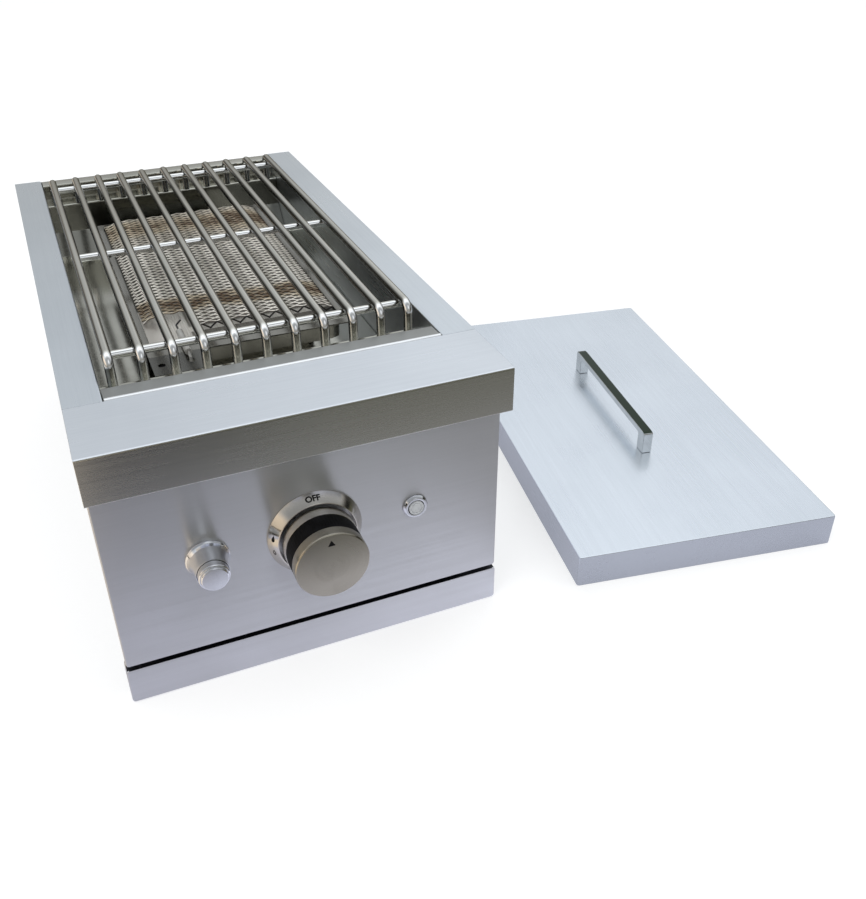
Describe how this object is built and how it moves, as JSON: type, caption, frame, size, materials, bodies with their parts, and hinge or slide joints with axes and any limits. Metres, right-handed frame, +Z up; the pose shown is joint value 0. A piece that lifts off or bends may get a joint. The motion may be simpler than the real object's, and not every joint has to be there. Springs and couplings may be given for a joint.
{
  "type": "built-in gas side burner",
  "caption": "Drop-in gas side burner: folded steel casing with an apron and control panel, infrared burner under a rod grate, pull-out grease tray, and a lift-off lid beside it.",
  "frame": {"origin": "centre of the underside of the casing's base", "axes": "+X to the right as the user faces the controls, +Y from the front to the rear, +Z up"},
  "size_m": [0.7236, 0.6733, 0.2537],
  "materials": {
    "brushed_steel": "brushed stainless steel",
    "bezel_steel": "spun stainless steel",
    "tub_steel": "bright rolled stainless steel, warm and dark with reflections",
    "rod_steel": "drawn stainless rod, satin",
    "galvanised": "plain zinc-coated sheet",
    "chrome": "polished chrome plate",
    "knob_steel": "fine turned steel",
    "black_grip": "matt black, lightly textured",
    "ceramic": "cream porous ceramic",
    "insulator": "glazed white",
    "screen_metal": "heat-tinted expanded metal",
    "cast_iron": "plain casting",
    "brass": "machined",
    "gasket": "woven fibre",
    "lead_sleeve": "silicone sleeve",
    "switch_button": "pale satin cap"
  },
  "bodies": {
    "casing": {"side_frame_left": "brushed_steel", "side_frame_right": "brushed_steel", "tub_sheet": "tub_steel", "apron": "brushed_steel", "control_panel": "brushed_steel", "panel_bracket_left": "galvanised", "panel_bracket_right": "galvanised", "outer_shell": "galvanised", "rear_panel": "galvanised", "heat_shield": "galvanised", "tray_runner_left": "galvanised", "tray_runner_right": "galvanised", "burner_box": "tub_steel", "burner_support_front": "galvanised", "burner_support_rear": "galvanised", "plaque_front": "ceramic", "plaque_middle": "ceramic", "plaque_rear": "ceramic", "plaque_gasket": "gasket", "plaque_frame": "tub_steel", "burner_screen": "screen_metal", "electrode_plate": "brushed_steel", "electrode_insulator": "insulator", "electrode_pin": "rod_steel", "ignition_lead": "lead_sleeve", "valve_body": "brass", "orifice_spud": "brass", "mixer_tube": "cast_iron", "manifold_tube": "galvanised", "manifold_bracket_left": "galvanised", "manifold_bracket_right": "galvanised", "gas_inlet_tube": "brass", "inlet_fitting": "brass", "knob_bezel": "bezel_steel", "igniter_bezel": "chrome", "igniter_body": "black_grip", "igniter_nut": "brass", "switch_bezel": "chrome", "switch_body": "black_grip", "switch_nut": "brass"},
    "grate": {"grate": "rod_steel"},
    "lid": {"lid_cover": "brushed_steel", "lid_handle": "chrome", "handle_screw_front": "galvanised", "handle_screw_rear": "galvanised"},
    "valve_rotor": {"valve_plug": "brass"},
    "control_knob": {"valve_stem": "brass", "knob_base_ring": "chrome", "knob_grip_band": "black_grip", "knob_cap": "knob_steel"},
    "igniter_plunger": {"igniter_button": "chrome"},
    "light_button": {"switch_button": "switch_button"},
    "tray": {"grease_tray": "galvanised", "tray_front": "brushed_steel"},
    "shutter": {"air_shutter": "galvanised"}
  },
  "joints": [
    {"name": "grate_lift", "type": "slide", "parent": "casing", "child": "grate", "axis": [0, 0, 1], "range_m": [0, 0.15]},
    {"name": "lid_lift", "type": "slide", "parent": "casing", "child": "lid", "axis": [0, 0, 1], "range_m": [0, 0.15]},
    {"name": "valve_turn", "type": "hinge", "parent": "casing", "child": "valve_rotor", "pos_m": [0, -0.2875, 0.1233], "axis": [0, -1, 0], "range_deg": [0, 120]},
    {"name": "knob_push", "type": "slide", "parent": "valve_rotor", "child": "control_knob", "axis": [0, 1, 0], "range_m": [0, 0.003], "stiffness_N_per_m": 500},
    {"name": "igniter_push", "type": "slide", "parent": "casing", "child": "igniter_plunger", "axis": [0, 1, 0], "range_m": [0, 0.004], "stiffness_N_per_m": 600},
    {"name": "light_push", "type": "slide", "parent": "casing", "child": "light_button", "axis": [0, 1, 0], "range_m": [0, 0.0018], "stiffness_N_per_m": 500},
    {"name": "tray_slide", "type": "slide", "parent": "casing", "child": "tray", "axis": [0, -1, 0], "range_m": [0, 0.33]},
    {"name": "shutter_turn", "type": "hinge", "parent": "casing", "child": "shutter", "pos_m": [0, -0.219, 0.1233], "axis": [0, 1, 0], "range_deg": [-45, 45]}
  ]
}
